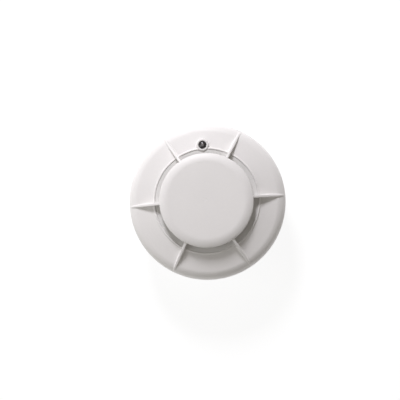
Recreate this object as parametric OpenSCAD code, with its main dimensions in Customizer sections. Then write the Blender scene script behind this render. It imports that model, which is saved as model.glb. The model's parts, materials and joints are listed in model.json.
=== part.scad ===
// Fire-alarm heat detector: a plug-in detector head on a twist-lock ceiling base.
// The part lies on its back. The origin is the centre of the base's ceiling face and +Z
// points out of the detector into the room. The indicator is on the +Y side.
// Seen from the room, the head turns anticlockwise to unlock.

/* [Overall] */
// Diameter across the rim
rim_d = 102; // [100:0.5:104]
// Height from the ceiling face to the front of the cap
total_h = 46.5; // [46:0.25:49]
// Wall thickness of the mouldings
wall = 2; // [1.8:0.1:2.2]

/* [Cap] */
// Diameter of the round cap
cap_d = 60.8; // [60.2:0.2:61.6]
// Height of the cap's front above the widest line of the rim
cap_rise = 16; // [15.8:0.1:16.4]
// Radial width of the curve along the cap's edge
cap_round = 5.5; // [4.5:0.25:6]
// Slope of that curve where it ends, in degrees
cap_slope = 30; // [26:1:32]
// Distance from the cap's front to its lower edge
cap_drop = 3.2; // [3:0.1:3.4]

/* [Skirt] */
// Radial width of the curve that rolls over the rim
roll_w = 9; // [8.5:0.1:9.5]
// Height of the curve that rolls over the rim
roll_h = 6.6; // [6.4:0.1:6.8]
// Slope of the roll where it meets the skirt, in degrees
crease_slope = 19; // [17:0.5:21]
// Slope of the skirt's face, in degrees
skirt_slope = 12; // [11:0.5:12.5]
// Outer diameter of the lip ring round the air inlet
lip_d = 69; // [68.6:0.2:69.6]
// Thickness of the lip ring
lip_t = 1.2; // [1.1:0.1:1.4]
// Height of the lip ring above the skirt
lip_h = 0.7; // [0.4:0.1:1]

/* [Fins] */
// Thickness of each fin
fin_t = 1.8; // [1.4:0.1:2]
// Height of each fin's ridge where it begins to roll over the rim
fin_ridge = 0.7; // [0.4:0.1:0.9]

/* [Indicator] */
// Distance of the indicator from the centre
lens_at = 36.3; // [36:0.1:37]
// Diameter of the indicator lens
lens_d = 5; // [4.6:0.1:5.2]

/* [Base] */
// Height of the base's side wall
base_h = 12.4; // [12.2:0.1:12.6]
// Diameter of the hole for the cables
cable_d = 30; // [26:0.5:31]
// Distance between two opposite fixing slots
slot_spacing = 60; // [56:1:62]
// Length of a fixing slot
slot_l = 14; // [10:0.5:14]
// Width of a fixing slot
slot_w = 4.4; // [4:0.1:5]
// Angle that the head turns to unlock, in degrees
twist = 20; // [16:1:20]

/* [Terminals] */
// Distance of the terminal screws from the centre
terminal_at = 30; // [29.5:0.1:30.5]
// Diameter of the terminal screws' shanks
screw_d = 3.2; // [3:0.1:3.3]

/* [Hidden] */
$fn = 96;
JOIN = 0.2;
RUNNING_FIT = 0.05;
TERMINALS = [1, 2, 3, 4];
SIXTH = 60;
QUARTER = 90;
LENS_ANGLE = 90;
MARK_ANGLE = 270;

// Radii of the outer mouldings
rim_r = rim_d / 2;
cap_r = cap_d / 2;
lip_r = lip_d / 2;
inlet_r = lip_r - lip_t;
back_r = rim_r - 1.4;
base_r = rim_r - 1;

// Heights of the outer mouldings, from the back to the front
head_gap = 0.6;
head_z = base_h + head_gap;
rim_z = total_h - cap_rise;
roll_r = rim_r - roll_w;
crease_a = atan(roll_h / (roll_w * tan(crease_slope)));
crease_r = roll_r + roll_w * cos(crease_a);
crease_z = rim_z + roll_h * sin(crease_a);
skirt_z = crease_z + (crease_r - lip_r) * tan(skirt_slope);
lip_z = skirt_z + lip_h;
cap_turn_r = cap_round / sin(cap_slope);
cap_edge_z = total_h - cap_turn_r * (1 - cos(cap_slope));
cap_low_z = total_h - cap_drop;
cap_skin = 2.2;

// Heights inside the head
collar_z = lip_z - 3.6;
seal_t = 0.6;
deck_t = 1.6;
deck_z = collar_z - seal_t;
deck_low_z = deck_z - deck_t;
chassis_t = 2;
chassis_z = head_z + chassis_t;
board_t = 1.6;
board_z = head_z + 11;
board_top_z = board_z + board_t;

// Shelf round the sensing deck, just under the lip
shelf_r = inlet_r - 0.1;
shelf_in_r = inlet_r - 4;
shelf_foot_r = inlet_r - 7;
shelf_z = lip_z - 0.5;
shelf_t = 1.6;

// Radii inside the head
cover_in_r = back_r - wall;
chassis_r = cover_in_r - 0.6;
board_r = 43;
post_at = 38;
post_angles = [30, 150, 270];
leg_at = 28;
leg_angles = [0, 120, 240];
deck_rim_r = lip_r + 0.4;
lobe_r = 4.6;
boss_r = lens_d / 2 + 1.5;
fin_in_r = cap_r - 4.5;
fin_end_a = 20;

// Bayonet: three hooks on the head under three ledges on the base
hook_angles = [0, 120, 240];
hook_half = 8;
hook_in_r = 43;
hook_wall = 1.6;
hook_r = base_r - 2.4;
hook_z = 6.2;
hook_t = 2;
base_in_r = base_r - 1.8;
ledge_in_r = hook_in_r + hook_wall + 0.5;
ledge_z = hook_z + hook_t + 0.4;
ledge_t = 2;
stop_gap = 1;
stop_w = 1.6;

// Base floor and terminals
floor_t = 2.2;
terminal_angles = [45, 135, 225, 315];
pad_z = 6.2;
pad_len = 13;
pad_wid = 12.5;
spring_t = 0.6;
clamp_gap = 0.1;
clamp_t = 1;
clamp_z = pad_z + spring_t + clamp_gap;
screw_head_z = clamp_z + clamp_t;
nut_w = 6;
nut_t = 2.2;
nut_z = 3.2;
nut_play = 0.1;

// Contact blades on the head, over the springs on the base
blade_lag = 23;
blade_half = 4;
blade_t = 0.8;
blade_in_r = 27.2;
blade_out_r = 35;
blade_z = 7.9;
flange_in_r = 22;
rivet_at = 24;
tab_w = 1.2;

// Thermistor in the air stream under the cap
sleeve_r = 2.2;
lead_r = 0.25;
lead_pitch = 1.2;
bead_r = 1.3;
bead_z = lip_z + 1.6;

// ---------- shared shapes ----------

// Points along a quarter or other part of an ellipse
function ellipse_arc(r0, z0, w, h, a0, a1, steps) =
    [for (i = [0:steps]) let (a = a0 + (a1 - a0) * i / steps) [r0 + w * cos(a), z0 + h * sin(a)]];

// A full ring of rectangular section
module ring(r_in, r_out, z0, z1) {
    rotate_extrude() translate([r_in, z0]) square([r_out - r_in, z1 - z0]);
}

// Part of a ring, between two angles
module sector(r_in, r_out, z0, z1, a0, a1) {
    rotate([0, 0, a0]) rotate_extrude(angle = a1 - a0)
        translate([r_in, z0]) square([r_out - r_in, z1 - z0]);
}

// A round rod or hole along Z
module rod(r, z0, z1) {
    translate([0, 0, z0]) cylinder(r = r, h = z1 - z0);
}

// A block whose base centre is at the origin
module block(size, z0) {
    translate([-size[0] / 2, -size[1] / 2, z0]) cube(size);
}

// Places children at a radius and an angle
module polar(r, a) {
    rotate([0, 0, a]) translate([r, 0, 0]) children();
}

// A slot with round ends along X
module slot(l, w, z0, z1) {
    translate([0, 0, z0]) linear_extrude(z1 - z0) {
        square([l - w, w], center = true);
        for (s = [-1, 1]) translate([s * (l - w) / 2, 0]) circle(d = w);
    }
}

// A thin plate whose outline is drawn in the tangential and vertical directions
module side_plate(points, x0, width) {
    translate([x0, 0, 0]) rotate([90, 0, 90]) linear_extrude(width) polygon(points);
}

// ---------- front cover ----------

// The skirt, rim and side wall as one turned section
module cover_shell() {
    outside = concat(
        [[back_r, head_z]],
        ellipse_arc(roll_r, rim_z, roll_w, roll_h, 0, crease_a, 7),
        [[lip_r, skirt_z], [lip_r - 0.2, lip_z - 0.15], [lip_r - 0.45, lip_z]]
    );
    inside = [
        [inlet_r + 0.35, lip_z], [inlet_r, lip_z - 0.3], [inlet_r, collar_z], [lip_r, collar_z],
        [lip_r, skirt_z - wall], [crease_r - 0.5, crease_z - wall],
        [rim_r - wall, rim_z - 1], [cover_in_r, head_z]
    ];
    rotate_extrude() polygon(concat(outside, inside));
}

// The cap: a flat disc that curves down to a small rounded corner and a side with a little draft
module cap() {
    draft = 0.35;
    corner = 0.5;
    corner_r = cap_r - draft - corner;
    turned = 90 - cap_slope;
    edge = concat(
        [[cap_r - 0.15, cap_low_z], [cap_r, cap_low_z + 0.15]],
        ellipse_arc(corner_r, cap_edge_z - corner * sin(turned), corner, corner, 0, turned * 2 / 3, 2),
        ellipse_arc(corner_r + corner * cos(turned) - cap_round, total_h - cap_turn_r,
            cap_turn_r, cap_turn_r, turned, 90, 6)
    );
    under = [
        [0, total_h - cap_skin], [fin_in_r + 0.3, total_h - cap_skin], [cap_r - 1.9, cap_low_z]
    ];
    difference() {
        rotate_extrude() polygon(concat(edge, [[0, total_h]], under));
        rod(1, total_h - 0.15, total_h + 1);
    }
}

// Points over the roll, from the crease to the end of a fin. They stand a height above the roll
// that falls to nothing.
function ridge_line(height, steps) = [
    for (i = [0:steps]) let (t = i / steps, a = crease_a + (fin_end_a - crease_a) * t)
        [roll_r + (roll_w + height * (1 - t)) * cos(a), rim_z + (roll_h + height * (1 - t)) * sin(a)]
];

// One fin: a straight crest from the cap's edge to the crease, then a low ridge over the roll
module fin() {
    crest = concat([[fin_in_r, total_h - cap_skin + 0.3], [cap_r - 0.5, cap_edge_z - 0.5]],
        ridge_line(fin_ridge, 6));
    foot = [
        [roll_r + (roll_w - 1) * cos(fin_end_a), rim_z + (roll_h - 1) * sin(fin_end_a)],
        [crease_r - 0.4, crease_z - 1], [lip_r, skirt_z - wall + 0.4],
        [inlet_r + 0.2, lip_z - 1.6], [inlet_r + 0.2, lip_z - 0.3], [fin_in_r, lip_z + 0.3]
    ];
    translate([0, fin_t / 2, 0]) rotate([90, 0, 0]) linear_extrude(fin_t) polygon(concat(crest, foot));
}

// The raised collar round the lens, and the tube below it outside the air inlet
module lens_boss() {
    low_z = lip_z - 1.9;
    polar(lens_at, LENS_ANGLE) rotate_extrude() polygon([
        [0, low_z], [boss_r, low_z], [boss_r, lip_z - 0.1],
        [boss_r - 0.6, lip_z + 0.35], [0, lip_z + 0.35]
    ]);
    difference() {
        polar(lens_at, LENS_ANGLE) rod(boss_r, collar_z, low_z + JOIN);
        rod(inlet_r, collar_z - 1, total_h);
    }
}

module front_cover() {
    color("whitesmoke") {
        difference() {
            union() {
                cover_shell();
                cap();
                for (a = [0:SIXTH:300]) rotate([0, 0, a]) fin();
                lens_boss();
            }
            // bore for the lens, recess for its flange, and a flat seat for the gasket's eye
            polar(lens_at, LENS_ANGLE) {
                rod(lens_d / 2 + 0.1, collar_z - 1, total_h);
                rod(lens_d / 2 + 1, collar_z - 1, collar_z + 1.1);
                rod(lobe_r + 0.2, collar_z - 1, collar_z);
            }
        }
        // snap beads that hold the cover on the chassis
        for (a = post_angles) sector(cover_in_r - 1.4, cover_in_r + 0.6, head_z + 5, head_z + 6.6,
            a + 23, a + 37);
        // alignment mark on the side wall
        sector(back_r - 0.5, back_r + 0.6, head_z, head_z + 7, MARK_ANGLE - 0.8, MARK_ANGLE + 0.8);
    }
}

// ---------- sensing deck under the cap ----------

module deck_outline(rim, lobe) {
    circle(r = rim);
    rotate(LENS_ANGLE) translate([lens_at, 0]) circle(r = lobe);
}

// The raised shelf that carries on inwards from the lip, and the slope down to the deck
module deck_shelf() {
    rotate_extrude() polygon([
        [shelf_foot_r - 1, deck_z - JOIN], [shelf_foot_r, deck_z], [shelf_in_r, shelf_z - 0.3],
        [shelf_r - 0.3, shelf_z], [shelf_r, shelf_z - 0.2], [shelf_r, deck_z - JOIN],
        [shelf_r - shelf_t, deck_z - JOIN], [shelf_r - shelf_t, shelf_z - shelf_t],
        [shelf_in_r + 0.8, shelf_z - shelf_t - 0.3], [shelf_foot_r + shelf_t, deck_z - JOIN]
    ]);
}

module sensor_deck() {
    chimney_r = 5.4;
    chimney_z = deck_z + 2.6;
    color("white") difference() {
        union() {
            translate([0, 0, deck_low_z]) linear_extrude(deck_t) difference() {
                deck_outline(deck_rim_r, lobe_r);
                difference() {
                    circle(r = shelf_r - shelf_t);
                    circle(r = shelf_foot_r + shelf_t);
                }
            }
            deck_shelf();
            rod(chimney_r, deck_low_z, chimney_z);
            for (a = leg_angles) polar(leg_at, a) rod(2.5, board_top_z, deck_z - JOIN);
        }
        rod(sleeve_r + 0.1, deck_low_z - 1, chimney_z + 1);
        for (a = [0, QUARTER]) rotate([0, 0, a]) block([2 * chimney_r + 2, 1.6, 2], deck_z + 0.8);
        polar(lens_at, LENS_ANGLE) {
            rod(lens_d / 2 + 0.1, deck_low_z - 1, deck_z + 1);
            rod(boss_r + 0.1, deck_z, lip_z);
        }
    }
}

// Flat gasket between the deck and the cover's collar, with an eye round the lens
module deck_seal() {
    color("dimgray") translate([0, 0, deck_z]) linear_extrude(seal_t) difference() {
        deck_outline(lip_r, lobe_r - 0.4);
        circle(r = inlet_r + RUNNING_FIT);
        rotate(LENS_ANGLE) translate([lens_at, 0]) circle(r = lens_d / 2 + 0.15);
    }
}

// ---------- indicator ----------

module indicator_lens() {
    dome_r = 3.2;
    edge_z = lip_z + 0.15;
    dome_z = edge_z - sqrt(pow(dome_r, 2) - pow(lens_d / 2, 2));
    color("dimgray") polar(lens_at, LENS_ANGLE) {
        rotate_extrude() {
            intersection() {
                translate([0, dome_z]) circle(r = dome_r);
                translate([0, edge_z]) square([lens_d / 2, dome_r]);
            }
            translate([0, board_top_z + 2.4]) square([lens_d / 2, edge_z - board_top_z - 2.4]);
            translate([0, collar_z]) square([lens_d / 2 + 0.9, 1]);
        }
    }
}

module status_led() {
    color("ivory") polar(lens_at, LENS_ANGLE) {
        block([2.8, 3.4, 1.2], board_top_z);
        translate([0, 0, board_top_z + 1.2 - JOIN]) intersection() {
            rod(1.1, 0, 2);
            sphere(r = 1.15);
        }
    }
}

// ---------- sensing elements ----------

module thermistor_bead() {
    color("saddlebrown") rotate_extrude() {
        intersection() {
            translate([0, bead_z]) circle(r = bead_r);
            translate([0, bead_z - bead_r]) square([bead_r, 2 * bead_r]);
        }
        polygon([[0, bead_z - 2.2], [0.9, bead_z - 2.2], [bead_r * 0.98, bead_z - 0.2], [0, bead_z]]);
    }
}

module thermistor_leads() {
    color("silver") for (s = [-1, 1]) translate([s * lead_pitch / 2, 0, 0])
        rod(lead_r, board_z - 0.8, bead_z - 2.2);
}

module thermistor_sleeve() {
    color("black") ring(sleeve_r - 0.6, sleeve_r, board_top_z, deck_z + 1.4);
}

module reference_thermistor() {
    color("darkslategray") translate([9, -9, 0]) {
        rod(0.3, board_top_z, board_top_z + 2);
        rotate([90, 0, 0]) translate([0, board_top_z + 3.4, -0.9]) cylinder(r = 1.6, h = 1.8);
    }
}

// ---------- circuit board ----------

module circuit_board() {
    color("darkgreen") difference() {
        rod(board_r, board_z, board_top_z);
        for (a = post_angles) polar(post_at, a) rod(1.4, board_z - 1, board_top_z + 1);
        for (s = [-1, 1]) translate([s * lead_pitch / 2, 0, 0])
            rod(lead_r + 0.1, board_z - 1, board_top_z + 1);
        for (a = terminal_angles) rotate([0, 0, a + blade_lag])
            translate([blade_in_r + blade_t / 2, 0, 0])
                block([blade_t + 0.6, tab_w + 0.6, board_t + 2], board_z - 1);
        for (a = [0, 180]) polar(board_r, a) rod(2, board_z - 1, board_top_z + 1);
    }
}

module board_screws() {
    color("silver") for (a = post_angles) polar(post_at, a) difference() {
        union() {
            rod(1.1, board_z - 7, board_top_z + JOIN);
            rod(2.3, board_top_z, board_top_z + 1.7);
        }
        for (t = [0, QUARTER]) rotate([0, 0, t]) block([2.8, 0.6, 1.2], board_top_z + 0.9);
    }
}

// A moulded chip with rows of bent legs on two sides
module chip(body, legs, pitch, leg_w) {
    reach = 1.1;
    block(body, board_top_z + 0.15);
    for (s = [-1, 1], i = [0:legs - 1]) translate([(i - (legs - 1) / 2) * pitch, 0, 0])
        mirror([0, s > 0 ? 0 : 1, 0]) {
            translate([-leg_w / 2, body[1] / 2 - JOIN, board_top_z + body[2] / 2])
                cube([leg_w, 0.6 + JOIN, 0.25]);
            translate([-leg_w / 2, body[1] / 2 + 0.35, board_top_z])
                cube([leg_w, 0.25, body[2] / 2 + 0.1]);
            translate([-leg_w / 2, body[1] / 2 + 0.35, board_top_z])
                cube([leg_w, reach - 0.35, 0.22]);
        }
}

module microcontroller() {
    color("black") translate([-14, 4, 0]) chip([8.7, 4, 1.5], 7, 1.27, 0.42);
}

module bridge_rectifier() {
    color("black") translate([14, -22, 0]) chip([4.8, 4, 2.4], 2, 2.54, 0.7);
}

module switching_transistors() {
    color("black") for (x = [-24, -15]) translate([x, -16, 0]) chip([6.4, 3.5, 1.6], 3, 2.3, 0.7);
}

module resonator() {
    color("silver") translate([-14, 14, 0]) {
        slot(10.6, 4.2, board_top_z, board_top_z + 0.5);
        slot(9.8, 3.4, board_top_z, board_top_z + 3.4);
    }
}

module surge_suppressor() {
    color("black") translate([24, -14, 0]) {
        block([6.6, 5.6, 2.2], board_top_z + 0.2);
        block([7.8, 3, 1.2], board_top_z);
    }
}

// A can capacitor on a square foot, with a crimp groove
module can_capacitor(r, h) {
    foot = 2 * r + 0.4;
    block([foot, foot, 1], board_top_z);
    rotate_extrude() polygon([
        [0, board_top_z + 0.9], [r, board_top_z + 0.9], [r, board_top_z + 2],
        [r - 0.3, board_top_z + 2.3], [r, board_top_z + 2.6],
        [r, board_top_z + h - 0.4], [r - 0.4, board_top_z + h], [0, board_top_z + h]
    ]);
}

module smoothing_capacitor() {
    color("lightgray") translate([17, 12, 0]) can_capacitor(4, 7);
}

module timing_capacitor() {
    color("lightgray") translate([5, 17, 0]) can_capacitor(2.5, 5.4);
}

module chip_resistors() {
    color("black") for (i = [0:5], j = [0, 1]) translate([-27 + i * 3.2, -3.5 - j * 5, 0])
        block([1.6, 3.2, 0.6], board_top_z);
}

module chip_capacitors() {
    color("tan") for (i = [0:5]) translate([3 + i * 3.4, -30, 0]) block([1.6, 3.2, 1.2], board_top_z);
}

// A glass reed switch beside the rim, closed by a test magnet held outside the wall
module reed_switch() {
    axis_z = board_top_z + 1.6;
    color("lightcyan") polar(37, 195) rotate([90, 0, 0]) {
        translate([0, axis_z, -6.5]) cylinder(r = 1.1, h = 13);
        translate([0, axis_z, -9]) cylinder(r = 0.3, h = 18);
        for (s = [-1, 1]) translate([-0.3, board_top_z, s * 8.7 - 0.3]) cube([0.6, 1.7, 0.6]);
    }
}

// ---------- chassis and contact blades ----------

module chassis_hooks() {
    for (a = hook_angles) {
        sector(hook_in_r, hook_in_r + hook_wall, hook_z, head_z + JOIN, a - hook_half, a + hook_half);
        sector(hook_in_r, hook_r, hook_z, hook_z + hook_t, a - hook_half, a + hook_half);
    }
}

module chassis() {
    wall_h = 9;
    color("gainsboro") difference() {
        union() {
            rod(chassis_r, head_z, chassis_z);
            ring(chassis_r - wall, chassis_r, head_z, head_z + wall_h);
            ring(chassis_r - 1.2, chassis_r, head_z - 1.8, head_z + JOIN);
            chassis_hooks();
            for (a = post_angles) polar(post_at, a) rod(3.4, chassis_z - JOIN, board_z);
            for (a = [0:SIXTH:300]) rotate([0, 0, a + 10])
                translate([14, -0.75, chassis_z - JOIN]) cube([chassis_r - 15, 1.5, 1.6]);
        }
        for (a = post_angles) {
            polar(post_at, a) rod(1.1, board_z - 7.2, board_z + 1);
            sector(chassis_r - 2 * wall, chassis_r + 2, head_z + 4.8, head_z + 6.8, a + 22, a + 38);
        }
        for (a = terminal_angles) rotate([0, 0, a + blade_lag]) {
            translate([rivet_at, 0, 0]) rod(1, head_z - 1, chassis_z + 3);
            translate([rivet_at, 0, 0]) rod(2.4, chassis_z, chassis_z + 3);
            translate([blade_in_r + blade_t / 2, 0, 0])
                block([blade_t + 0.4, tab_w + 0.4, 6], head_z - 1);
        }
    }
}

// A bent blade: a tongue that wipes the base spring, a riveted flange and a soldered tab
module contact_blade(k) {
    mid = terminal_angles[k - 1] + blade_lag;
    color("goldenrod") rotate([0, 0, mid]) {
        sector(blade_in_r, blade_out_r, blade_z, blade_z + blade_t, -blade_half, blade_half);
        sector(blade_in_r, blade_in_r + blade_t, blade_z, head_z, -blade_half, blade_half);
        difference() {
            sector(flange_in_r, blade_in_r + blade_t, head_z - blade_t, head_z,
                -blade_half, blade_half);
            translate([rivet_at, 0, 0]) rod(1, head_z - 2, head_z + 1);
        }
        translate([blade_in_r + blade_t / 2, 0, 0])
            block([blade_t, tab_w, board_top_z + 0.8 - head_z + JOIN], head_z - JOIN);
    }
}

module blade_rivets() {
    color("silver") for (a = terminal_angles) polar(rivet_at, a + blade_lag) {
        rod(1.7, head_z - blade_t - 0.7, head_z - blade_t);
        rod(1, head_z - blade_t - JOIN, chassis_z + JOIN);
        rod(1.6, chassis_z, chassis_z + 0.7);
    }
}

// ---------- base ----------

// One bayonet station: the ledge that holds a hook, and the stops at both ends of its travel
module bayonet_station() {
    first = -hook_half - stop_gap;
    last = twist + hook_half + stop_gap;
    outer = base_in_r + JOIN;
    sector(ledge_in_r, outer, ledge_z, ledge_z + ledge_t, first - stop_w, hook_half + stop_gap);
    sector(ledge_in_r, outer, floor_t - JOIN, ledge_z + JOIN, first - stop_w, first);
    sector(ledge_in_r, outer, floor_t - JOIN, ledge_z + ledge_t, last, last + stop_w);
}

// Moulded block that carries one terminal, with a slot for its nut
module terminal_pad() {
    difference() {
        translate([terminal_at, 0, 0]) block([pad_len, pad_wid, pad_z - floor_t + JOIN], floor_t - JOIN);
        translate([terminal_at - pad_len, -nut_w / 2 - nut_play, nut_z - nut_play])
            cube([pad_len + nut_w / 2 + nut_play, nut_w + 2 * nut_play, nut_t + 2 * nut_play]);
        translate([terminal_at, 0, 0]) rod(screw_d / 2 + 0.3, floor_t, pad_z + 1);
    }
}

module base_plate() {
    rim_in = base_in_r + 0.6;
    color("whitesmoke") difference() {
        union() {
            rotate_extrude() polygon([
                [cable_d / 2, 0], [base_r - 0.3, 0], [base_r, 0.4], [back_r, base_h - 0.3],
                [back_r - 0.3, base_h], [rim_in, base_h], [base_in_r, base_h - 1.4],
                [base_in_r, floor_t], [cable_d / 2 + 2, floor_t], [cable_d / 2 + 2, floor_t + 1.8],
                [cable_d / 2, floor_t + 1.8]
            ]);
            for (a = hook_angles) rotate([0, 0, a]) bayonet_station();
            for (a = terminal_angles) rotate([0, 0, a]) terminal_pad();
            // alignment marks: locked and unlocked
            sector(back_r - 0.5, base_r + 0.2, 5, base_h, MARK_ANGLE - 0.8, MARK_ANGLE + 0.8);
            sector(back_r - 0.5, base_r + 0.2, 9, base_h,
                MARK_ANGLE + twist - 0.8, MARK_ANGLE + twist + 0.8);
        }
        for (a = [0:QUARTER:270]) polar(slot_spacing / 2, a) slot(slot_l, slot_w, -1, floor_t + 1);
    }
}

module terminal_nuts() {
    color("silver") for (a = terminal_angles) polar(terminal_at, a) difference() {
        block([nut_w, nut_w, nut_t], nut_z);
        rod(screw_d / 2 + RUNNING_FIT, nut_z - 1, nut_z + nut_t + 1);
    }
}

// A folded strip: its foot lies under the clamp plate and its arch meets the head's blade
module contact_spring(k) {
    foot = 5;
    arch = 12.3;
    rise = blade_z - 0.3 - spring_t - pad_z;
    upper = [
        [-foot, pad_z + spring_t], [foot, pad_z + spring_t],
        [arch - 3, pad_z + rise + spring_t - 0.3], [arch - 1, pad_z + rise + spring_t],
        [arch + 1, pad_z + rise + spring_t], [arch + 5, pad_z - 1]
    ];
    lower = [
        [arch + 4.3, pad_z - 1], [arch + 0.7, pad_z + rise], [arch - 0.9, pad_z + rise],
        [arch - 2.8, pad_z + rise - 0.3], [foot + 0.2, pad_z], [-foot, pad_z]
    ];
    color("gold") rotate([0, 0, terminal_angles[k - 1]]) difference() {
        side_plate(concat(upper, lower), terminal_at - 3, 6);
        translate([terminal_at, 0, 0]) rod(screw_d / 2 + 0.3, pad_z - 1, pad_z + 2);
    }
}

// A square washer that grips the wires, with low raised lips at its inner and outer edges
module clamp_plate(k) {
    w = 9;
    color("silver") polar(terminal_at, terminal_angles[k - 1]) difference() {
        union() {
            block([w, w, clamp_t], clamp_z);
            for (s = [-1, 1]) translate([s * (w / 2 - 0.5), 0, 0])
                block([1, 5, clamp_t], clamp_z + 0.6);
        }
        rod(screw_d / 2 + 0.2, clamp_z - 1, clamp_z + clamp_t + 2);
    }
}

module terminal_screw(k) {
    head_r = 3.1;
    head_t = 2.2;
    color("lightgray") polar(terminal_at, terminal_angles[k - 1]) difference() {
        union() {
            rod(screw_d / 2, floor_t + 0.4, screw_head_z + JOIN);
            rotate_extrude() polygon([
                [0, screw_head_z + 0.05], [head_r, screw_head_z + 0.05], [head_r, screw_head_z + 1.5],
                [head_r - 0.6, screw_head_z + head_t], [0, screw_head_z + head_t]
            ]);
        }
        block([7, 0.9, 2], screw_head_z + 1.1);
        block([0.9, 3.6, 2], screw_head_z + 1.1);
    }
}

front_cover();
sensor_deck();
deck_seal();
indicator_lens();
status_led();
thermistor_bead();
thermistor_leads();
thermistor_sleeve();
reference_thermistor();
circuit_board();
board_screws();
microcontroller();
resonator();
bridge_rectifier();
surge_suppressor();
smoothing_capacitor();
timing_capacitor();
switching_transistors();
chip_resistors();
chip_capacitors();
reed_switch();
chassis();
blade_rivets();
base_plate();
terminal_nuts();
for (k = TERMINALS) {
    contact_blade(k);
    contact_spring(k);
    clamp_plate(k);
    terminal_screw(k);
}
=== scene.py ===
import json
from math import atan, atan2, cos, pi, radians, sin, sqrt, tan

import bmesh
import bpy
import numpy as np
from mathutils import Matrix, Vector


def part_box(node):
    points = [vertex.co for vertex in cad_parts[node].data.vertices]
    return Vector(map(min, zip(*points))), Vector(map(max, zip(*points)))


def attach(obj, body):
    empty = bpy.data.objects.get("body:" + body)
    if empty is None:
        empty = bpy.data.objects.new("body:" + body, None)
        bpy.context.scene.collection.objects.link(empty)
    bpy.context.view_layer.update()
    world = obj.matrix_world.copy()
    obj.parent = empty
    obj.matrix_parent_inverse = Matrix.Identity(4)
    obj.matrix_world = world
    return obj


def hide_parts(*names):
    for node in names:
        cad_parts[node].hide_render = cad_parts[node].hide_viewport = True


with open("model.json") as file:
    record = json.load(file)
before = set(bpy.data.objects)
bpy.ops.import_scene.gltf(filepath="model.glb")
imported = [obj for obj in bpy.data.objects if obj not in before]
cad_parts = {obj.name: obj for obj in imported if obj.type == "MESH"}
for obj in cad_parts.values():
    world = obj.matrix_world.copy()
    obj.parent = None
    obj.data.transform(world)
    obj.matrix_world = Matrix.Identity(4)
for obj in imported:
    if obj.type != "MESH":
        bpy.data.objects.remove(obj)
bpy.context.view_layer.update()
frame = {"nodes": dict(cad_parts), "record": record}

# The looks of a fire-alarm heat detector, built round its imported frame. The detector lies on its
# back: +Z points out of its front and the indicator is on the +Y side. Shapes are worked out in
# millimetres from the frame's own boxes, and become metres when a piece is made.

MM = 0.001
COLUMNS = 192


# ---------- sizes from the frame, in millimetres ----------

def box_mm(node):
    """The lowest and highest corner of a CAD node, in millimetres."""
    low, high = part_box(node)
    return np.array(low) / MM, np.array(high) / MM


cover_low, cover_high = box_mm("front_cover")
base_high = box_mm("base_plate")[1]
lens_low, lens_high = box_mm("indicator_lens")
deck_low, deck_high = box_mm("sensor_deck")
seal_low, seal_high = box_mm("deck_seal")
chassis_low, chassis_high = box_mm("chassis")

# The outside. Sizes that no box of the frame gives are the design's own driving values.
RIM_R = cover_high[0]
TOP_Z = cover_high[2]
HEAD_Z = cover_low[2]
BASE_H = base_high[2]
BACK_R = RIM_R - 1.4
BASE_R = RIM_R - 1.0
WALL = 2.0

# The cap
CAP_R = 30.4
CAP_ROUND = 5.5
CAP_SLOPE = radians(30.0)
CAP_TURN_R = CAP_ROUND / sin(CAP_SLOPE)
CAP_DROP = 3.2
CAP_SKIN = 2.2
CAP_DRAFT = 0.35
CAP_CORNER = 0.5
GATE_R = 0.9
GATE_DEPTH = 0.05
CAP_EDGE_Z = TOP_Z - CAP_TURN_R * (1 - cos(CAP_SLOPE))
CAP_LOW_Z = TOP_Z - CAP_DROP

# The roll over the rim, the crease, the skirt and the lip ring
RIM_Z = TOP_Z - 16.0
ROLL_W = 9.0
ROLL_H = 6.6
ROLL_R = RIM_R - ROLL_W
CREASE_SLOPE = radians(19.0)
CREASE_A = atan(ROLL_H / (ROLL_W * tan(CREASE_SLOPE)))
CREASE_R = ROLL_R + ROLL_W * cos(CREASE_A)
CREASE_Z = RIM_Z + ROLL_H * sin(CREASE_A)
SKIRT_SLOPE = radians(12.0)
LIP_R = 34.5
INLET_R = 33.3
LIP_H = 0.7
SKIRT_Z = CREASE_Z + (CREASE_R - LIP_R) * tan(SKIRT_SLOPE)
LIP_Z = SKIRT_Z + LIP_H
COLLAR_Z = seal_high[2]

# The fins: where they begin, half their thickness, and their low ridge over the roll
FIN_ANGLES = [radians(a) for a in range(0, 360, 60)]
FIN_IN_R = CAP_R - 4.5
FIN_HALF = 0.9
FIN_RIDGE = 0.7
FIN_END_A = radians(20.0)

# The indicator and its collar
LENS_AT = (lens_low[1] + lens_high[1]) / 2
LENS_R = 2.5
COLLAR_R = LENS_R + 1.5

# The deck under the cap
DECK_T = 1.6
CHIMNEY_R = 5.4
CHIMNEY_H = 2.6
SLEEVE_BORE_R = 2.3
LOBE_R = 4.6
LEG_AT = 28.0
LEG_R = 2.5

# Parts that meet overlap by this much before they are joined
JOIN = 0.2

# The base
FLOOR_T = 2.2
BASE_IN_R = BASE_R - 1.8
CABLE_R = 15.0
CURB_W = 2.0
CURB_H = 1.8
SLOT_AT = 30.0
SLOT_LENGTH = 14.0
SLOT_WIDTH = 4.4
PAD_SIZE = (13.0, 12.5, 4.2)
NUT_SLOT = (16.1, 6.2, 2.4)
NUT_SLOT_Z = 3.1
SCREW_HOLE_R = 1.9
TERMINAL_AT = 30.0
TERMINAL_ANGLES = [radians(a) for a in (45, 135, 225, 315)]

# The twist lock. These angles are in degrees.
HOOK_ANGLES = (0, 120, 240)
HOOK_HALF = 8.0
TWIST = 20.0
STOP_GAP = 1.0
STOP_W = 1.6
MARK_ANGLE = 270.0
MARK_HALF = 0.8
HOOK_IN_R = 43.0
HOOK_WALL = 1.6
HOOK_T = 2.0
LEDGE_IN_R = 45.1
LEDGE_Z = 8.6
LEDGE_T = 2.0

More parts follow.
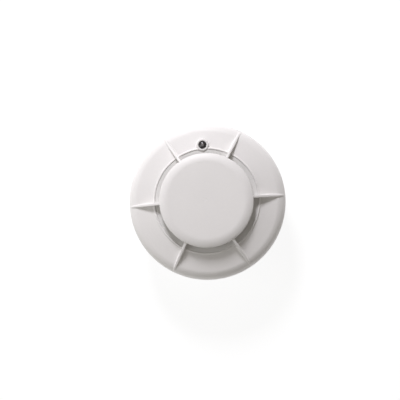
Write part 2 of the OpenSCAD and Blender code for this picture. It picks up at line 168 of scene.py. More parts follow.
# The head's back: its disc and wall, the posts under the board and the holes for the blades
DISC_T = 2.0
WALL_H = 9.0
SKIRT_DROP = 1.8
SKIRT_T = 1.2
POST_AT = 38.0
POST_R = 3.4
POST_H = 11.0
POST_BORE_R = 1.1
POST_TURNS = (30, 150, 270)
POST_ANGLES = [radians(a) for a in POST_TURNS]
BLADE_LAG = radians(23.0)
RIVET_AT = 24.0
RIVET_R = 1.0
RIVET_HEAD_R = 2.4
TAB_AT = 27.6
TAB_HOLE = (1.2, 1.6, 6.0)


# ---------- mesh building ----------

def corner_arc(before, corner, after, radius, steps):
    """The points of a round of a given radius at a corner of a path."""
    a, b = before - corner, after - corner
    a_len, b_len = np.linalg.norm(a), np.linalg.norm(b)
    a, b = a / a_len, b / b_len
    half = np.arccos(np.clip(a @ b, -1, 1)) / 2
    if half > pi / 2 - 0.01:
        return [corner]
    reach = min(radius / tan(half), 0.49 * a_len, 0.49 * b_len)
    radius = reach * tan(half)
    middle = corner + (a + b) / np.linalg.norm(a + b) * radius / sin(half)
    first = corner + a * reach - middle
    last = corner + b * reach - middle
    turn = atan2(first[0] * last[1] - first[1] * last[0], first @ last)
    points = []
    for i in range(steps + 1):
        c, s = cos(turn * i / steps), sin(turn * i / steps)
        points.append(middle + [first[0] * c - first[1] * s, first[0] * s + first[1] * c])
    return points


def rounded(points, closed=True, steps=5):
    """A path whose points are (r, z) or (r, z, corner radius), with those corners rounded."""
    flat = [np.array(p[:2], float) for p in points]
    made = []
    for i, p in enumerate(points):
        inner = closed or 0 < i < len(points) - 1
        if len(p) > 2 and inner:
            after = flat[(i + 1) % len(flat)]
            made += corner_arc(flat[i - 1], flat[i], after, p[2], steps)
        else:
            made.append(flat[i])
    return np.array(made)


def stepped(path, longest, closed=True):
    """The same path with its long stretches divided."""
    made = []
    for i in range(len(path) if closed else len(path) - 1):
        a, b = path[i], path[(i + 1) % len(path)]
        parts = max(1, int(np.ceil(np.linalg.norm(b - a) / longest)))
        made += [a + (b - a) * k / parts for k in range(parts)]
    return np.array(made if closed else made + [path[-1]])


def ellipse(r0, z0, w, h, a0, a1, steps):
    """Points along part of an ellipse, as (r, z) tuples."""
    turns = np.linspace(a0, a1, steps + 1)
    return [(r0 + w * cos(a), z0 + h * sin(a)) for a in turns]


def even_angles(columns=COLUMNS):
    return np.linspace(0, 2 * pi, columns, endpoint=False)


def lathe(path, angles=None, closed=True):
    """A turned surface round Z: vertices and faces, in millimetres."""
    angles = even_angles() if angles is None else angles
    rows, columns = len(path), len(angles)
    verts = np.empty((rows, columns, 3))
    verts[:, :, 0] = path[:, :1] * np.cos(angles)
    verts[:, :, 1] = path[:, :1] * np.sin(angles)
    verts[:, :, 2] = path[:, 1:]
    faces = []
    for i in range(rows if closed else rows - 1):
        n = (i + 1) % rows
        for j in range(columns):
            m = (j + 1) % columns
            faces.append((i * columns + j, i * columns + m, n * columns + m, n * columns + j))
    return verts.reshape(-1, 3), faces


def prism(outline, low, high):
    """A closed prism on an outline of (x, y) points, from one height to another."""
    n = len(outline)
    verts = [(x, y, z) for z in (low, high) for x, y in outline]
    sides = [(i, (i + 1) % n, n + (i + 1) % n, n + i) for i in range(n)]
    return np.array(verts, float), sides + [tuple(range(n - 1, -1, -1)), tuple(range(n, 2 * n))]


def rod(radius, low, high, at=(0, 0), columns=64):
    outline = [(at[0] + radius * cos(a), at[1] + radius * sin(a)) for a in even_angles(columns)]
    return prism(outline, low, high)


def block(size, low, at=(0, 0)):
    x, y = size[0] / 2, size[1] / 2
    corners = [(-x, -y), (x, -y), (x, y), (-x, y)]
    return prism([(at[0] + a, at[1] + b) for a, b in corners], low, low + size[2])


def arch(r_in, r_out, low, high, a0, a1, steps=24):
    """Part of a ring, between two angles in degrees."""
    turns = np.radians(np.linspace(a0, a1, steps + 1))
    outer = [(r_out * cos(a), r_out * sin(a)) for a in turns]
    inner = [(r_in * cos(a), r_in * sin(a)) for a in turns[::-1]]
    return prism(outer + inner, low, high)


def long_hole(length, width, low, high, at=0.0, steps=24):
    """A slot with round ends along X."""
    reach = (length - width) / 2
    outline = []
    for side in (1, -1):
        for i in range(steps + 1):
            a = -pi / 2 + pi * i / steps + (0 if side > 0 else pi)
            outline.append((at + side * reach + width / 2 * cos(a), width / 2 * sin(a)))
    return prism(outline, low, high)


def turned(part, angle, shift=(0, 0, 0)):
    """The same part moved, then turned round Z by an angle in radians."""
    c, s = cos(angle), sin(angle)
    matrix = np.array([[c, s, 0], [-s, c, 0], [0, 0, 1]])
    return (part[0] + np.array(shift, float)) @ matrix, part[1]


def joined(parts):
    """Several parts as one set of vertices and faces."""
    verts, faces, start = [], [], 0
    for part_verts, part_faces in parts:
        verts.append(part_verts)
        faces += [tuple(i + start for i in face) for face in part_faces]
        start += len(part_verts)
    return np.concatenate(verts), faces


def mesh_object(name, part, welded=True):
    """A mesh object from vertices in millimetres, with clean outward faces."""
    verts, faces = part
    mesh = bpy.data.meshes.new(name)
    mesh.from_pydata((verts * MM).tolist(), [], faces)
    cleaner = bmesh.new()
    cleaner.from_mesh(mesh)
    if welded:
        bmesh.ops.remove_doubles(cleaner, verts=cleaner.verts, dist=1e-7)
    bmesh.ops.dissolve_degenerate(cleaner, dist=1e-8, edges=cleaner.edges)
    bmesh.ops.recalc_face_normals(cleaner, faces=cleaner.faces)
    cleaner.to_mesh(mesh)
    cleaner.free()
    made = bpy.data.objects.new(name, mesh)
    bpy.context.scene.collection.objects.link(made)
    return made


def settle(piece):
    """Applies a piece's modifiers to its mesh."""
    depsgraph = bpy.context.evaluated_depsgraph_get()
    mesh = bpy.data.meshes.new_from_object(piece.evaluated_get(depsgraph))
    piece.modifiers.clear()
    piece.data = mesh


def combine(piece, parts, operation):
    """Cuts parts out of a piece, or adds them to it, one boolean for them all."""
    tool = mesh_object("tool", joined(parts), welded=False)
    boolean = piece.modifiers.new("boolean", "BOOLEAN")
    boolean.operation = operation
    boolean.solver = "EXACT"
    boolean.use_self = len(parts) > 1
    boolean.object = tool
    settle(piece)
    bpy.data.objects.remove(tool)


def dress(piece, slot, body, stands_for=(), sharp=38):
    """Gives a piece its shading, its material and its body."""
    piece.data.polygons.foreach_set("use_smooth", [True] * len(piece.data.polygons))
    piece.data.set_sharp_from_angle(angle=radians(sharp))
    piece.data.materials.clear()
    piece.data.materials.append(finish_of(slot))
    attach(piece, body)
    if stands_for:
        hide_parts(*stands_for)
    return piece


# ---------- materials ----------

class Graph:
    """A material's node tree, with a short way to add nodes."""

    def __init__(self, name):
        self.material = bpy.data.materials.new(name)
        self.material.use_nodes = True
        self.tree = self.material.node_tree
        self.shader = self.tree.nodes["Principled BSDF"]
        self.place = self.add("ShaderNodeTexCoord").outputs["Object"]

    def add(self, kind, inputs=None, **settings):
        node = self.tree.nodes.new(kind)
        for key, value in settings.items():
            setattr(node, key, value)
        for key, value in (inputs or {}).items():
            self.put(node.inputs[key], value)
        return node

    def put(self, socket, value):
        if isinstance(value, bpy.types.NodeSocket):
            self.tree.links.new(value, socket)
        else:
            socket.default_value = value

    def noise(self, size_mm, detail=2.0, roughness=0.5, place=None):
        """Noise whose features are about a given size."""
        inputs = {"Vector": place or self.place, "Scale": 1 / (size_mm * MM), "Detail": detail,
                  "Roughness": roughness}
        return self.add("ShaderNodeTexNoise", inputs).outputs["Fac"]

    def stretch(self, factors):
        """Coordinates scaled along each axis."""
        return self.add("ShaderNodeVectorMath", {0: self.place, 1: factors},
                        operation="MULTIPLY").outputs[0]

    def ramp(self, value, low, high, start=0.0, end=1.0):
        """Maps low..high of a value to start..end."""
        inputs = {"Value": value, "From Min": low, "From Max": high, "To Min": start, "To Max": end}
        return self.add("ShaderNodeMapRange", inputs).outputs["Result"]

    def mix(self, share, a, b):
        node = self.add("ShaderNodeMix", data_type="RGBA")
        self.put(node.inputs["Factor"], share)
        self.put(node.inputs[6], a)
        self.put(node.inputs[7], b)
        return node.outputs[2]

    def bump(self, height, depth_mm, strength=1.0, under=None):
        inputs = {"Height": height, "Distance": depth_mm * MM, "Strength": strength}
        if under is not None:
            inputs["Normal"] = under
        return self.add("ShaderNodeBump", inputs).outputs["Normal"]

    def set(self, **values):
        """Sets the shader's inputs, named with underscores for spaces."""
        for key, value in values.items():
            self.put(self.shader.inputs[key.replace("_", " ")], value)
        return self.material


def shade(colour, factor):
    return tuple(min(1.0, c * factor) for c in colour[:3]) + (1.0,)


def moulded_plastic(name, colour, rough=0.3, grain=0.008):
    """Satin moulded plastic: slow colour drift, fine spark-eroded grain and uneven gloss."""
    g = Graph(name)
    drift = g.noise(22, detail=3)
    mottle = g.noise(1.6, detail=4, roughness=0.6)
    tint = g.mix(g.ramp(drift, 0.3, 0.7), shade(colour, 0.975), shade(colour, 1.015))
    spots = g.mix(g.ramp(mottle, 0.35, 0.65), shade(colour, 0.985), shade(colour, 1.01))
    tone = g.mix(0.5, tint, spots)
    gloss = g.ramp(g.noise(7, detail=3), 0.3, 0.7, rough - 0.05, rough + 0.06)
    waves = g.bump(g.noise(9, detail=1), 0.02, strength=0.35)
    texture = g.bump(g.noise(0.22, detail=2), grain, strength=0.6, under=waves)
    return g.set(Base_Color=tone, Roughness=gloss, Normal=texture, IOR=1.5,
                 Specular_IOR_Level=0.28)


def smoked_lens(name, colour):
    """A dark tinted dome, darker at its edge and painted paler in the middle: a painted highlight
    over where the LED shows through the pipe.
    """
    g = Graph(name)
    centre = g.add("ShaderNodeVectorMath", {0: g.place, 1: (0.0, LENS_AT * MM, 0.0)},
                   operation="SUBTRACT").outputs[0]
    flat = g.add("ShaderNodeVectorMath", {0: centre, 1: (1.0, 1.0, 0.0)},
                 operation="MULTIPLY").outputs[0]
    reach = g.add("ShaderNodeVectorMath", {0: flat}, operation="LENGTH").outputs["Value"]
    wobble = g.ramp(g.noise(0.7, detail=2), 0.3, 0.7, -0.25 * MM, 0.25 * MM)
    shifted = g.add("ShaderNodeMath", {0: reach, 1: wobble}, operation="ADD").outputs[0]
    # painted highlight: the dome's middle is painted paler than its edge
    painted_highlight_middle = g.ramp(shifted, 0.55 * MM, 1.25 * MM, 1.0, 0.0)
    tone = g.mix(painted_highlight_middle, shade(colour, 0.35), shade(colour, 2.6))
    return g.set(Base_Color=tone, Roughness=0.2, IOR=1.49, Coat_Weight=0.3, Coat_Roughness=0.12)


def clear_resin(name, colour):
    g = Graph(name)
    tone = g.mix(g.ramp(g.noise(1.2, detail=3), 0.3, 0.7), shade(colour, 0.94), shade(colour, 1.03))
    return g.set(Base_Color=tone, Roughness=g.ramp(g.noise(0.8), 0.3, 0.7, 0.16, 0.26),
                 Coat_Weight=0.3, Coat_Roughness=0.1)


def sheet_rubber(name, colour):
    g = Graph(name)
    tone = g.mix(g.ramp(g.noise(0.9, detail=4), 0.35, 0.65), shade(colour, 0.8), shade(colour, 1.25))
    skin = g.bump(g.noise(0.25, detail=3), 0.02, strength=0.5)
    return g.set(Base_Color=tone, Roughness=g.ramp(g.noise(1.5), 0.3, 0.7, 0.62, 0.8), Normal=skin)


def metal(name, colour, rough=0.3, along=(1.0, 1.0, 12.0), marks=0.35):
    """Plated or drawn metal: fine lines one way, cloudy gloss and small handling marks."""
    g = Graph(name)
    lines = g.noise(0.5, detail=3, place=g.stretch(along))
    cloud = g.noise(2.4, detail=4)
    tone = g.mix(g.ramp(cloud, 0.3, 0.7), shade(colour, 0.86), shade(colour, 1.08))
    gloss = g.ramp(lines, 0.3, 0.7, rough - 0.08, rough + 0.1)
    skin = g.bump(lines, 0.01, strength=marks)
    return g.set(Base_Color=tone, Metallic=1.0, Roughness=gloss, Normal=skin)


def chip_body(name, colour):
    """Moulding compound: matt, finely pitted, with a slightly paler bloom."""
    g = Graph(name)
    tone = g.mix(g.ramp(g.noise(0.6, detail=4), 0.35, 0.7), shade(colour, 0.8), shade(colour, 1.5))
    skin = g.bump(g.noise(0.12, detail=2), 0.012, strength=0.6)
    return g.set(Base_Color=tone, Roughness=g.ramp(g.noise(1.1), 0.3, 0.7, 0.5, 0.68), Normal=skin)


def fired_ceramic(name, colour):
    g = Graph(name)
    tone = g.mix(g.ramp(g.noise(0.3, detail=4), 0.35, 0.65), shade(colour, 0.85), shade(colour, 1.12))
    skin = g.bump(g.noise(0.15, detail=2), 0.008, strength=0.5)
    return g.set(Base_Color=tone, Roughness=g.ramp(g.noise(0.5), 0.3, 0.7, 0.35, 0.5), Normal=skin)


def board_laminate(name, colour):
    """Green solder mask over copper: routed tracks show as slightly raised, paler bands."""
    g = Graph(name)
    bands = g.add("ShaderNodeTexBrick", {
        "Vector": g.place, "Scale": 1 / (9 * MM), "Mortar Size": 0.045, "Mortar Smooth": 0.1,
        "Color1": (0, 0, 0, 1), "Color2": (0, 0, 0, 1), "Mortar": (1, 1, 1, 1)})
    tracks = bands.outputs["Fac"]
    weave = g.noise(0.35, detail=2, place=g.stretch((6.0, 1.0, 1.0)))
    ground = g.mix(g.ramp(g.noise(5, detail=3), 0.3, 0.7), shade(colour, 0.8), shade(colour, 1.15))
    tone = g.mix(g.ramp(tracks, 0.0, 1.0, 0.0, 0.55), ground, shade(colour, 2.1))
    raised = g.bump(tracks, 0.03, strength=0.7)
    skin = g.bump(weave, 0.006, strength=0.4, under=raised)
    return g.set(Base_Color=tone, Roughness=g.ramp(weave, 0.3, 0.7, 0.28, 0.4), Normal=skin,
                 Coat_Weight=0.25, Coat_Roughness=0.2)


def reed_tube(name, colour):
    g = Graph(name)
    tone = g.mix(g.ramp(g.noise(2, detail=2), 0.3, 0.7), shade(colour, 0.92), shade(colour, 1.04))
    return g.set(Base_Color=tone, Roughness=0.06, IOR=1.5, Transmission_Weight=0.75)


MAKERS = {
    "cover_plastic": lambda n, c: moulded_plastic(n, c, rough=0.46),
    "deck_plastic": lambda n, c: moulded_plastic(n, c, rough=0.38),
    "base_plastic": lambda n, c: moulded_plastic(n, c, rough=0.4, grain=0.012),
    "chassis_plastic": lambda n, c: moulded_plastic(n, c, rough=0.45, grain=0.014),
    "seal_rubber": sheet_rubber,
    "lens_smoke": smoked_lens,
    "led_ivory": clear_resin,
    "bead_epoxy": clear_resin,
    "tinned_wire": metal,
    "sleeve_black": sheet_rubber,
    "board_green": board_laminate,
    "screw_steel": metal,
    "chip_black": chip_body,
    "resonator_steel": lambda n, c: metal(n, c, rough=0.24, along=(8.0, 1.0, 1.0)),
    "can_aluminium": lambda n, c: metal(n, c, rough=0.34, along=(1.0, 1.0, 0.15)),
    "resistor_black": fired_ceramic,
    "capacitor_tan": fired_ceramic,
    "reed_glass": reed_tube,
    "blade_brass": lambda n, c: metal(n, c, rough=0.28),
    "spring_brass": lambda n, c: metal(n, c, rough=0.24, along=(1.0, 6.0, 1.0)),
    "clamp_steel": lambda n, c: metal(n, c, rough=0.32, along=(6.0, 1.0, 1.0)),
    "terminal_steel": lambda n, c: metal(n, c, rough=0.3, along=(1.0, 1.0, 8.0)),
    "nut_steel": lambda n, c: metal(n, c, rough=0.36),
}
COLOURS = {m["slot"]: m["base_color"] for m in frame["record"]["materials"]}
made_finishes = {}


def finish_of(slot):
    """The material of a slot of the record, made once."""
    if slot not in made_finishes:
        made_finishes[slot] = MAKERS[slot](slot, COLOURS[slot])
    return made_finishes[slot]


# ---------- the cover: skirt, fins, cap and lens collar ----------

def skirt_height(r):
    """Height of the cover's face at a radius, outside the lip."""
    if r >= CREASE_R:
        return RIM_Z + ROLL_H * sqrt(max(0.0, 1 - ((r - ROLL_R) / ROLL_W) ** 2))
    return CREASE_Z + (CREASE_R - r) * tan(SKIRT_SLOPE)


def fin_crest():
    """The fin's top edge from the cap outwards: a straight run, then a low ridge over the roll."""
    crest = [(CAP_R - 0.5, CAP_EDGE_Z - 0.5)]
    for i in range(13):
        t = i / 12
        a = CREASE_A + (FIN_END_A - CREASE_A) * t
        ridge = FIN_RIDGE * (1 - t)
        crest.append((ROLL_R + (ROLL_W + ridge) * cos(a), RIM_Z + (ROLL_H + ridge) * sin(a)))
    return crest


def fin():
    """One fin along +X, with drafted sides, a rounded crest and a tip that fades into the rim."""
    crest = fin_crest()
    inner = [(FIN_IN_R, TOP_Z - CAP_SKIN + 0.3)]
    run = stepped(np.array(inner + crest), 1.0, closed=False)
    rows = []
    for r, top in run:
        if r <= INLET_R + 0.3:
            foot = LIP_Z + 0.3 - 0.6 * (r - FIN_IN_R) / (INLET_R - FIN_IN_R)
        else:
            foot = skirt_height(r) - 1.2
        height = max(0.05, top - (skirt_height(r) if r > INLET_R else LIP_Z))
        fade = min(1.0, height / 1.2)
        low_half = FIN_HALF * (0.65 + 0.4 * fade)
        top_half = FIN_HALF * (0.45 + 0.45 * fade)
        edge = min(0.32, top_half * 0.8)
        side = [(-low_half, foot), (-top_half - 0.02, top - edge)]
        for i in range(1, 6):
            a = pi - pi / 2 * i / 5
            side.append((-(top_half - edge) + edge * cos(a), top - edge + edge * sin(a)))
        loop = side + [(-y, z) for y, z in side[::-1]]
        rows.append([(r, y, z) for y, z in loop])
    count = len(rows[0])
    faces = []
    for i in range(len(rows) - 1):
        for j in range(count):
            k = (j + 1) % count
            faces.append((i * count + j, i * count + k, (i + 1) * count + k, (i + 1) * count + j))
    last = (len(rows) - 1) * count
    faces.append(tuple(range(count)))
    faces.append(tuple(range(last + count - 1, last - 1, -1)))
    return np.array(rows, float).reshape(-1, 3), faces


def cover_columns():
    """Column angles for the skirt: close together beside each fin, wider between."""
    near = np.radians(np.linspace(-2.7, 2.7, 37))
    far = np.radians(np.linspace(2.7, 57.3, 42)[1:-1])
    return np.concatenate([np.concatenate([a + near, a + far]) for a in FIN_ANGLES])


def skirt():
    """The skirt, rim and side wall, with soft fillets along the feet of the fins."""
    roll = ellipse(ROLL_R, RIM_Z, ROLL_W, ROLL_H, 0.0, CREASE_A, 26)
    outside = [(BACK_R, HEAD_Z, 0.35), (RIM_R - 0.12, RIM_Z - 3.0, 6.0)] + roll
    lip = [(LIP_R, SKIRT_Z, 0.5), (LIP_R - 0.05, LIP_Z, 0.45), (INLET_R + 0.05, LIP_Z, 0.4)]
    inside = [
        (INLET_R, COLLAR_Z, 0.1), (LIP_R, COLLAR_Z, 0.1), (LIP_R, SKIRT_Z - WALL, 0.6),
        (CREASE_R - 0.5, CREASE_Z - WALL, 3.0), (RIM_R - WALL, RIM_Z - 1, 3.0),
        (BACK_R - WALL, HEAD_Z, 0.25)]
    path = stepped(rounded(outside + lip + inside), 0.9)
    columns = cover_columns()
    verts, faces = lathe(path, columns)
    reach = np.hypot(verts[:, 0], verts[:, 1])
    turn = np.arctan2(verts[:, 1], verts[:, 0])
    to_fin = (turn + pi / 6) % (pi / 3) - pi / 6
    aside = np.abs(reach * np.sin(to_fin))
    crest = np.array(fin_crest())
    top = np.interp(reach, crest[:, 0], crest[:, 1])
    face = np.array([skirt_height(r) for r in reach])
    outer = (verts[:, 2] > face - 0.3) & (reach > LIP_R) & (reach < crest[-1, 0])
    fillet = np.clip(0.45 * (top - face), 0.0, 0.9)
    fillet = fillet * np.clip((reach - LIP_R) / 0.8, 0, 1)
    gap = np.clip(aside - FIN_HALF * 0.9, 0.0, None)
    inner = np.clip(fillet - gap, 0.0, None)
    rise = fillet - np.sqrt(np.clip(fillet ** 2 - inner ** 2, 0.0, None))
    verts[:, 2] += np.where(outer, rise, 0.0)
    return verts, faces


def cap():
    """The cap: a flat disc that curves down to a small corner, with a faint gate mark."""
    corner_r = CAP_R - CAP_DRAFT - CAP_CORNER
    turn = pi / 2 - CAP_SLOPE
    side = [(CAP_R - 0.12, CAP_LOW_Z, 0.1), (CAP_R, CAP_LOW_Z + 0.15, 0.1)]
    corner = ellipse(corner_r, CAP_EDGE_Z - CAP_CORNER * sin(turn), CAP_CORNER, CAP_CORNER,
                     0.0, turn, 6)[:-1]
    curve = ellipse(corner_r + CAP_CORNER * cos(turn) - CAP_ROUND, TOP_Z - CAP_TURN_R,
                    CAP_TURN_R, CAP_TURN_R, turn, pi / 2, 18)
    top = [(8.0, TOP_Z), (GATE_R + 0.2, TOP_Z, 0.3), (GATE_R, TOP_Z - GATE_DEPTH, 0.2),
           (0.0, TOP_Z - GATE_DEPTH)]
    under = [(0.0, TOP_Z - CAP_SKIN), (FIN_IN_R + 0.3, TOP_Z - CAP_SKIN, 1.5),
             (CAP_R - 1.9, CAP_LOW_Z, 0.5)]
    return lathe(rounded(side + corner + curve + top + under))


def lens_collar():
    """The raised round collar that the indicator sits in."""
    outer, bore = COLLAR_R, LENS_R + 0.1
    low = LIP_Z - 1.9
    path = rounded([
        (outer + 0.1, low, 0.1), (outer, LIP_Z + 0.35, 0.75), (bore, LIP_Z + 0.35, 0.35),
        (bore, low, 0.1)], steps=7)
    return turned(lathe(path, even_angles(96)), 0.0, (0, LENS_AT, 0))


def make_cover():
    """The whole front moulding, with its alignment mark and its snap beads."""
    parts = [skirt(), cap(), lens_collar()] + [turned(fin(), a) for a in FIN_ANGLES]
    mark = arch(BACK_R - 0.5, BACK_R + 0.55, HEAD_Z + 0.05, HEAD_Z + 7,
                MARK_ANGLE - MARK_HALF, MARK_ANGLE + MARK_HALF, steps=3)
    inner = BACK_R - WALL
    beads = [arch(inner - 1.4, inner + 0.6, HEAD_Z + 5, HEAD_Z + 6.6, a + 23, a + 37)
             for a in POST_TURNS]
    piece = mesh_object("cover", joined(parts + [mark] + beads), welded=False)
    dress(piece, "cover_plastic", "head", ["front_cover"], sharp=50)


def make_lens():
    """The light pipe with its domed end."""
    dome_r = 3.2
    edge_z = LIP_Z + 0.15
    centre_z = edge_z - sqrt(dome_r ** 2 - LENS_R ** 2)
    spread = atan2(LENS_R, edge_z - centre_z)
    dome = [(dome_r * sin(a), centre_z + dome_r * cos(a)) for a in np.linspace(0, spread, 15)]
    flange = LENS_R + 0.9
    body = [(LENS_R, COLLAR_Z + 1), (flange, COLLAR_Z + 1, 0.1), (flange, COLLAR_Z, 0.1),
            (LENS_R, COLLAR_Z), (LENS_R, lens_low[2], 0.2), (0.0, lens_low[2])]
    part = turned(lathe(rounded(dome + body), even_angles(96)), 0.0, (0, LENS_AT, 0))
    dress(mesh_object("lens", part), "lens_smoke", "head", ["indicator_lens"])


# ---------- the deck under the cap ----------

def make_deck():
    """The air chamber's floor: a shelf just inside the lip, and a chimney round the thermistor."""
    rim, top = deck_high[0], seal_low[2]
    low = top - DECK_T
    ring, shelf_in, foot = INLET_R - 0.01, INLET_R - 4, INLET_R - 7
    shelf, skin = LIP_Z - 0.38, DECK_T
    path = rounded([
        (rim, low, 0.1), (rim, top, 0.1), (ring, top, 0.1), (ring, shelf, 0.04),
        (shelf_in, shelf - 0.3, 1.5), (foot, top, 1.5), (CHIMNEY_R, top, 0.5),
        (CHIMNEY_R, top + CHIMNEY_H, 0.4), (SLEEVE_BORE_R, top + CHIMNEY_H, 0.2),
        (SLEEVE_BORE_R, low, 0.1), (foot + skin, low, 0.1), (foot + skin, top - 0.2, 0.3),
        (shelf_in + 0.8, shelf - skin - 0.3, 0.6), (ring - skin, shelf - skin, 0.3),
        (ring - skin, low, 0.1)])
    piece = mesh_object("air_deck", lathe(stepped(path, 1.5)))
    lobe = rod(LOBE_R, low, top, (0, LENS_AT))
    legs = [turned(rod(LEG_R, deck_low[2], low + 0.3, (LEG_AT, 0)), radians(a))
            for a in HOOK_ANGLES]
    combine(piece, [lobe] + legs, "UNION")
    eye = rod(LENS_R + 0.1, low - 1, top + 1, (0, LENS_AT))
    notch = rod(COLLAR_R + 0.1, top, LIP_Z, (0, LENS_AT))
    slots = [turned(block((2 * CHIMNEY_R + 2, 1.6, 3), top + 0.8), a) for a in (0, pi / 2)]
    for cut in [eye, notch] + slots:
        combine(piece, [cut], "DIFFERENCE")
    dress(piece, "deck_plastic", "head", ["sensor_deck"])


# ---------- the base and the chassis ----------

def bayonet_station():
    """The ledge that holds one hook, and the stops at both ends of its travel."""
    outer, foot, top = BASE_R - 1.6, FLOOR_T - JOIN, LEDGE_Z + LEDGE_T
    first, last = -HOOK_HALF - STOP_GAP, TWIST + HOOK_HALF + STOP_GAP
    return [arch(LEDGE_IN_R, outer, LEDGE_Z, top, first - STOP_W, HOOK_HALF + STOP_GAP),
            arch(LEDGE_IN_R, outer, foot, LEDGE_Z + JOIN, first - STOP_W, first),
            arch(LEDGE_IN_R, outer, foot, top, last, last + STOP_W)]


def base_ring():
    """The base's floor and side wall, with a curb round the cable hole."""
    curb_r, curb_z = CABLE_R + CURB_W, FLOOR_T + CURB_H
    return lathe(stepped(rounded([
        (CABLE_R, 0, 0.25), (BASE_R, 0, 0.5), (BACK_R, BASE_H, 0.4),
        (BASE_IN_R + 0.6, BASE_H, 0.25), (BASE_IN_R, BASE_H - 1.4, 0.4), (BASE_IN_R, FLOOR_T, 0.6),
        (curb_r, FLOOR_T, 0.3), (curb_r, curb_z, 0.4), (CABLE_R, curb_z, 0.4)]), 3.0))


def make_base():
    """The ceiling base with its marks, twist lock, terminal pads and fixing slots."""
    piece = mesh_object("ceiling_base", base_ring())
    marks = [arch(BACK_R - 0.5, BASE_R + 0.2, low, BASE_H - 0.02, a - MARK_HALF, a + MARK_HALF,
                  steps=3)
             for low, a in ((5, MARK_ANGLE), (9, MARK_ANGLE + TWIST))]
    stations = [turned(p, radians(a)) for a in HOOK_ANGLES for p in bayonet_station()]
    pads = [turned(block(PAD_SIZE, FLOOR_T - JOIN, (TERMINAL_AT, 0)), a) for a in TERMINAL_ANGLES]
    combine(piece, marks + stations + pads, "UNION")
    slot = long_hole(SLOT_LENGTH, SLOT_WIDTH, -1, FLOOR_T + 1, at=SLOT_AT)
    nut_at = TERMINAL_AT + (NUT_SLOT[1] - NUT_SLOT[0]) / 2
    nut = block(NUT_SLOT, NUT_SLOT_Z, (nut_at, 0))
    bore = rod(SCREW_HOLE_R, FLOOR_T + 0.01, FLOOR_T + 5, (TERMINAL_AT, 0), 32)
    slots = [turned(slot, a * pi / 2) for a in range(4)]
    combine(piece, slots + [turned(nut, a) for a in TERMINAL_ANGLES], "DIFFERENCE")
    combine(piece, [turned(bore, a) for a in TERMINAL_ANGLES], "DIFFERENCE")
    dress(piece, "base_plastic", "base", ["base_plate"])


def back_disc(rim, low, top):
    """The disc of the head's back, its wall and the short ring under it."""
    high, under = low + WALL_H, low - SKIRT_DROP
    return lathe(stepped(rounded([
        (0, low), (rim - SKIRT_T, low, 0.2), (rim - SKIRT_T, under, 0.15), (rim, under, 0.15),
        (rim, high, 0.3), (rim - WALL, high, 0.3), (rim - WALL, top, 0.4), (0, top)]), 3.0))


def make_chassis():
    """The head's back: a disc with a wall, ribs and posts inside and three hooks outside."""
    rim, low, top = chassis_high[0], HEAD_Z, HEAD_Z + DISC_T
    foot = chassis_low[2]
    piece = mesh_object("back_plate", back_disc(rim, low, top))
    hooks = []
    for a in HOOK_ANGLES:
        first, last = a - HOOK_HALF, a + HOOK_HALF
        hooks += [arch(HOOK_IN_R, HOOK_IN_R + HOOK_WALL, foot, low + JOIN, first, last),
                  arch(HOOK_IN_R, BASE_R - 2.4, foot, foot + HOOK_T, first, last)]
    post = rod(POST_R, top - JOIN, HEAD_Z + POST_H, (POST_AT, 0), 48)
    rib = block((32.0, 1.5, 1.6), top - JOIN, (30, 0))
    posts = [turned(post, a) for a in POST_ANGLES]
    ribs = [turned(rib, radians(10 + 60 * k)) for k in range(6)]
    combine(piece, hooks + posts + ribs, "UNION")
    hole = rod(POST_BORE_R, HEAD_Z + POST_H - 7.2, HEAD_Z + POST_H + 1, (POST_AT, 0), 32)
    holes = [turned(hole, a) for a in POST_ANGLES]
    windows = [arch(rim - 4, rim + 2, low + 4.8, low + 6.8, a + 22, a + 38) for a in POST_TURNS]
    blade_cuts = [
        rod(RIVET_R, low - 1, top + 0.01, (RIVET_AT, 0), 32),
        rod(RIVET_HEAD_R, top, top + 3, (RIVET_AT, 0), 32),
        block(TAB_HOLE, low - 1, (TAB_AT, 0))]
    slots = [turned(cut, a + BLADE_LAG) for a in TERMINAL_ANGLES for cut in blade_cuts]
    combine(piece, holes + windows + slots, "DIFFERENCE")
    dress(piece, "chassis_plastic", "head", ["chassis"])


# ---------- the CAD parts that keep their shape ----------

def dress_cad():
    """Every CAD node that no piece stands for gets its finish."""
    slots = {s["node"]: s["material_slot"] for s in frame["record"]["subparts"]}
    for name, node in frame["nodes"].items():
        if node.hide_render:
            continue
        node.data.materials.clear()
        node.data.materials.append(finish_of(slots[name]))


# ---------- stage, light and camera ----------

def add_floor():
    """A plain pale floor that glows a little, as a lit white table does."""
    bpy.ops.mesh.primitive_plane_add(size=6.0, location=(0, 0, -0.0002))
    floor = bpy.context.object
    floor.name = "floor"
    g = Graph("floor")
    tone = g.mix(g.noise(300, detail=2), (0.17, 0.17, 0.17, 1), (0.19, 0.19, 0.19, 1))
    g.set(Base_Color=tone, Roughness=0.9, Emission_Color=(1, 1, 1, 1), Emission_Strength=0.88)
    floor.data.materials.append(g.material)


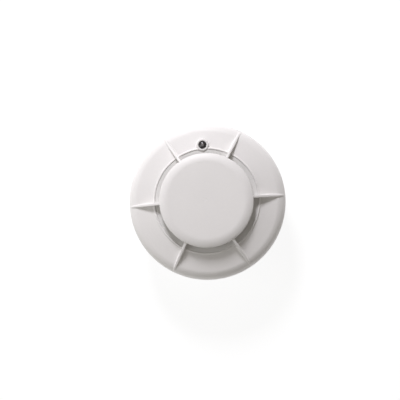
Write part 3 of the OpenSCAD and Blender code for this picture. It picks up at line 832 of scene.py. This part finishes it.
def add_light(name, azimuth, elevation, distance, size, power, colour):
    """A square soft light aimed at the cap from a direction given in degrees."""
    a, e = radians(azimuth), radians(elevation)
    way = Vector((cos(a) * cos(e), sin(a) * cos(e), sin(e)))
    data = bpy.data.lights.new(name, "AREA")
    data.size = size
    data.energy = power
    data.color = colour
    lamp = bpy.data.objects.new(name, data)
    lamp.location = Vector((0, 0, TOP_Z * MM)) + way * distance
    lamp.rotation_euler = way.to_track_quat("Z", "Y").to_euler()
    bpy.context.scene.collection.objects.link(lamp)


def add_world(strength, colour):
    world = bpy.data.worlds.new("studio")
    world.use_nodes = True
    world.node_tree.nodes["Background"].inputs["Color"].default_value = colour
    world.node_tree.nodes["Background"].inputs["Strength"].default_value = strength
    bpy.context.scene.world = world


def add_camera(tilt, lean, turn, distance, width, centre):
    """The camera looks almost straight down on the front. tilt is how far it leans off the axis,
    lean the side it leans to, turn the detector's own turn in the picture, all in degrees.
    width is what the picture's side spans at the rim, and centre the rim's place in the picture."""
    t, a = radians(tilt), radians(lean)
    back = Vector((sin(t) * cos(a), sin(t) * sin(a), cos(t)))
    up = Vector((cos(radians(90 - turn)), sin(radians(90 - turn)), 0))
    right = up.cross(back).normalized()
    up = back.cross(right)
    data = bpy.data.cameras.new("camera")
    data.sensor_width = 36.0
    data.lens = data.sensor_width * distance / width
    data.shift_x = 0.5 - centre[0]
    data.shift_y = centre[1] - 0.5
    camera = bpy.data.objects.new("camera", data)
    spot = Vector((0, 0, RIM_Z * MM)) + back * distance
    camera.matrix_world = Matrix((
        (right.x, up.x, back.x, spot.x), (right.y, up.y, back.y, spot.y),
        (right.z, up.z, back.z, spot.z), (0, 0, 0, 1)))
    bpy.context.scene.collection.objects.link(camera)
    bpy.context.scene.camera = camera


make_cover()
make_lens()
make_deck()
make_base()
make_chassis()
dress_cad()

add_floor()
add_world(0.22, (1.0, 0.94, 0.87, 1))
add_light("key", azimuth=99, elevation=35.5, distance=1.0, size=0.24, power=8.5,
          colour=(0.965, 0.95, 1.0))
add_light("fill", azimuth=190, elevation=30, distance=1.0, size=0.7, power=2.6,
          colour=(1.0, 1.0, 1.0))
add_camera(tilt=5.2, lean=300, turn=4.3, distance=0.62, width=0.2615, centre=(0.5185, 0.5042))
bpy.context.scene.view_settings.view_transform = "Standard"
